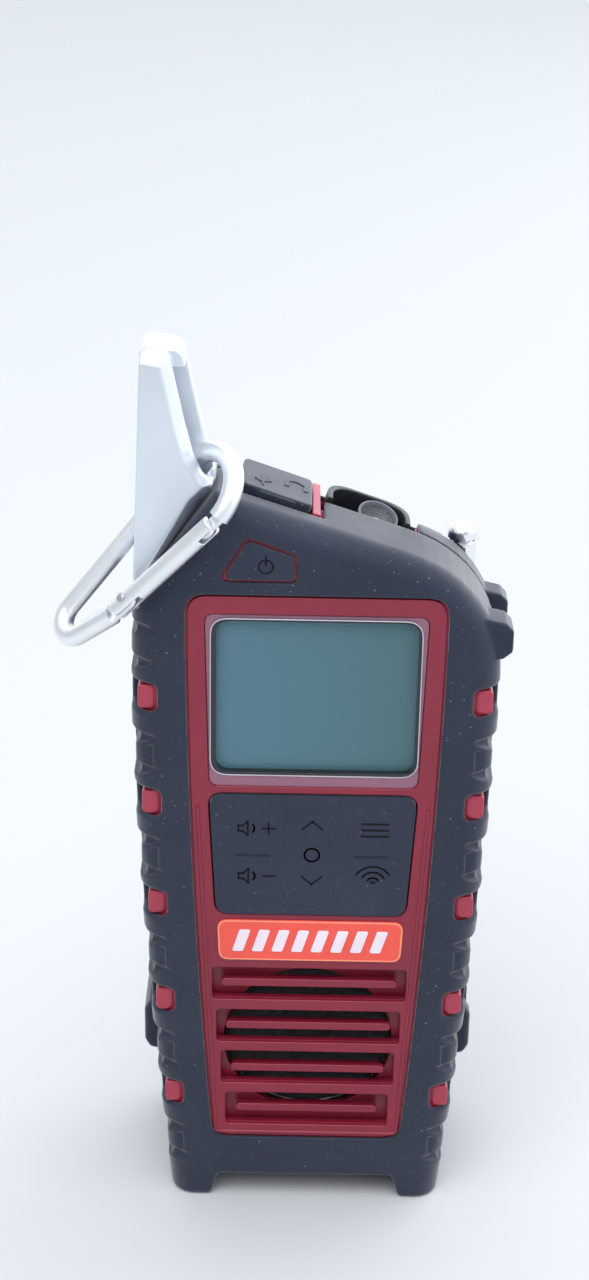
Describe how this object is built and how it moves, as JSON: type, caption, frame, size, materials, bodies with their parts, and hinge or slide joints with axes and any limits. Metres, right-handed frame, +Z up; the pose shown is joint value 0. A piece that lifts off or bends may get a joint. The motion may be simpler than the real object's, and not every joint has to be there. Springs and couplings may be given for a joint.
{
  "type": "emergency radio",
  "caption": "Hand-held emergency radio with a rubber-clad case, display, keypad, louvred speaker, hand crank, solar panel, telescopic antenna, torch and a carabiner in a metal bracket.",
  "frame": {"origin": "centre of the footprint, on the surface that the radio's two feet stand on", "axes": "+Z up along the body, +X to the right as the display is read, +Y from the display towards the back"},
  "size_m": [0.1023, 0.062, 0.2165],
  "materials": {
    "rubber": "matte",
    "red_plastic": "satin",
    "black_plastic": "matte",
    "charcoal_plastic": "fine grain",
    "steel": "brushed",
    "silver": "satin",
    "chrome": "polished",
    "clear": "clear",
    "display": "grey-green display",
    "white_plastic": "matte",
    "gear_nylon": "matte",
    "brass": "turned",
    "badge": "satin",
    "cone_paper": "matte",
    "ferrite": "matte",
    "board": "satin",
    "solar_cell": "gloss",
    "battery_wrap": "satin"
  },
  "bodies": {
    "case": {"front_bumper": "rubber", "rear_bumper": "rubber", "front_case": "red_plastic", "rear_case": "red_plastic", "case_screw_1": "steel", "case_screw_2": "steel", "case_screw_3": "steel", "case_screw_4": "steel", "display_lens": "clear", "display_panel": "display", "display_backlight": "white_plastic", "keypad_mat": "rubber", "badge_plate": "badge", "speaker_frame": "steel", "speaker_cone": "cone_paper", "speaker_magnet": "ferrite", "main_board": "board", "ferrite_rod": "ferrite", "crank_bush": "brass", "idler_axle": "steel", "generator": "steel", "gear_chassis": "charcoal_plastic", "solar_panel": "solar_cell", "battery_pack": "battery_wrap", "antenna_pin": "steel", "usb_socket": "steel", "headphone_jack": "black_plastic", "torch_bezel": "black_plastic", "torch_reflector": "chrome", "torch_lens": "clear", "carabiner_bracket": "silver"},
    "power_button": {"power_button": "black_plastic"},
    "crank": {"crank_shaft": "steel", "crank_gear": "gear_nylon", "crank_arm": "charcoal_plastic", "crank_cap": "charcoal_plastic"},
    "idler": {"idler_gear": "gear_nylon"},
    "rotor": {"rotor_pinion": "brass"},
    "knob_post": {"crank_knob_post": "steel"},
    "knob": {"crank_knob": "charcoal_plastic"},
    "antenna": {"antenna_knuckle": "chrome", "antenna_section_1": "chrome"},
    "antenna_2": {"antenna_section_2": "chrome"},
    "antenna_3": {"antenna_section_3": "chrome"},
    "antenna_4": {"antenna_section_4": "chrome"},
    "antenna_5": {"antenna_tip": "chrome"},
    "carabiner": {"carabiner_ring": "silver", "carabiner_rivet": "steel"},
    "gate": {"carabiner_gate": "silver"},
    "port_cover": {"port_cover": "rubber"},
    "battery_door": {"battery_door": "charcoal_plastic"},
    "door_screw": {"battery_door_screw": "steel"},
    "key_volume_up": {"key_volume_up": "rubber"},
    "key_volume_down": {"key_volume_down": "rubber"},
    "key_menu": {"key_menu": "rubber"},
    "key_auto_tune": {"key_auto_tune": "rubber"},
    "key_scroll_up": {"key_scroll_up": "rubber"},
    "key_select": {"key_select": "rubber"},
    "key_scroll_down": {"key_scroll_down": "rubber"}
  },
  "joints": [
    {"name": "key_volume_up_press", "type": "slide", "parent": "case", "child": "key_volume_up", "axis": [0, 1, 0], "range_m": [0, 0.0005], "stiffness_N_per_m": 2400},
    {"name": "key_volume_down_press", "type": "slide", "parent": "case", "child": "key_volume_down", "axis": [0, 1, 0], "range_m": [0, 0.0005], "stiffness_N_per_m": 2400},
    {"name": "key_menu_press", "type": "slide", "parent": "case", "child": "key_menu", "axis": [0, 1, 0], "range_m": [0, 0.0005], "stiffness_N_per_m": 2400},
    {"name": "key_auto_tune_press", "type": "slide", "parent": "case", "child": "key_auto_tune", "axis": [0, 1, 0], "range_m": [0, 0.0005], "stiffness_N_per_m": 2400},
    {"name": "key_scroll_up_press", "type": "slide", "parent": "case", "child": "key_scroll_up", "axis": [0, 1, 0], "range_m": [0, 0.0005], "stiffness_N_per_m": 2400},
    {"name": "key_select_press", "type": "slide", "parent": "case", "child": "key_select", "axis": [0, 1, 0], "range_m": [0, 0.0005], "stiffness_N_per_m": 2400},
    {"name": "key_scroll_down_press", "type": "slide", "parent": "case", "child": "key_scroll_down", "axis": [0, 1, 0], "range_m": [0, 0.0005], "stiffness_N_per_m": 2400},
    {"name": "power_press", "type": "slide", "parent": "case", "child": "power_button", "axis": [0, 1, 0], "range_m": [0, 0.0007], "stiffness_N_per_m": 2400},
    {"name": "crank_turn", "type": "hinge", "parent": "case", "child": "crank", "pos_m": [0.00435, 0.0264, 0.098], "axis": [0, 1, 0], "continuous": true},
    {"name": "idler_turn", "type": "hinge", "parent": "case", "child": "idler", "pos_m": [-0.00583, 0.0124, 0.07616], "axis": [0, 1, 0], "continuous": true},
    {"name": "rotor_turn", "type": "hinge", "parent": "case", "child": "rotor", "pos_m": [-0.00165, 0.0124, 0.05242], "axis": [0, 1, 0], "continuous": true},
    {"name": "knob_fold", "type": "hinge", "parent": "crank", "child": "knob_post", "pos_m": [0.00435, 0.0266, 0.055], "axis": [-1, 0, 0], "range_deg": [0, 90]},
    {"name": "knob_turn", "type": "hinge", "parent": "knob_post", "child": "knob", "pos_m": [0.00435, 0.0266, 0.055], "axis": [0, 0, 1], "continuous": true},
    {"name": "antenna_tilt", "type": "hinge", "parent": "case", "child": "antenna", "pos_m": [0.04065, 0.0076, 0.034], "axis": [0, 1, 0], "range_deg": [0, 90]},
    {"name": "antenna_slide_1", "type": "slide", "parent": "antenna", "child": "antenna_2", "axis": [0, 0, 1], "range_m": [0, 0.104]},
    {"name": "antenna_slide_2", "type": "slide", "parent": "antenna_2", "child": "antenna_3", "axis": [0, 0, 1], "range_m": [0, 0.104]},
    {"name": "antenna_slide_3", "type": "slide", "parent": "antenna_3", "child": "antenna_4", "axis": [0, 0, 1], "range_m": [0, 0.104]},
    {"name": "antenna_slide_4", "type": "slide", "parent": "antenna_4", "child": "antenna_5", "axis": [0, 0, 1], "range_m": [0, 0.104]},
    {"name": "carabiner_swing", "type": "hinge", "parent": "case", "child": "carabiner", "pos_m": [-0.02595, -0.0126, 0.183], "axis": [-0.6559, 0, -0.7549], "range_deg": [0, 55]},
    {"name": "gate_open", "type": "hinge", "parent": "carabiner", "child": "gate", "pos_m": [-0.03382, -0.02649, 0.16201], "axis": [-0.6577, -0.4909, 0.5714], "range_deg": [0, 10], "stiffness_Nm_per_rad": 0.05, "springref_deg": -5.73},
    {"name": "port_cover_lift", "type": "hinge", "parent": "case", "child": "port_cover", "pos_m": [-0.00195, 0.0019, 0.18143], "axis": [-0.9453, 0, 0.3261], "range_deg": [0, 105]},
    {"name": "battery_door_open", "type": "hinge", "parent": "case", "child": "battery_door", "pos_m": [0.00735, 0.0213, 0.0147], "axis": [-1, 0, 0], "range_deg": [0, 100]},
    {"name": "door_screw_turn", "type": "hinge", "parent": "battery_door", "child": "door_screw", "pos_m": [0.00735, 0.0224, 0.0404], "axis": [0, 1, 0], "range_deg": [-180, 180]}
  ],
  "couplings": [
    {"joint": "idler_turn", "follows": "crank_turn", "ratio": -3},
    {"joint": "rotor_turn", "follows": "crank_turn", "ratio": 9}
  ]
}
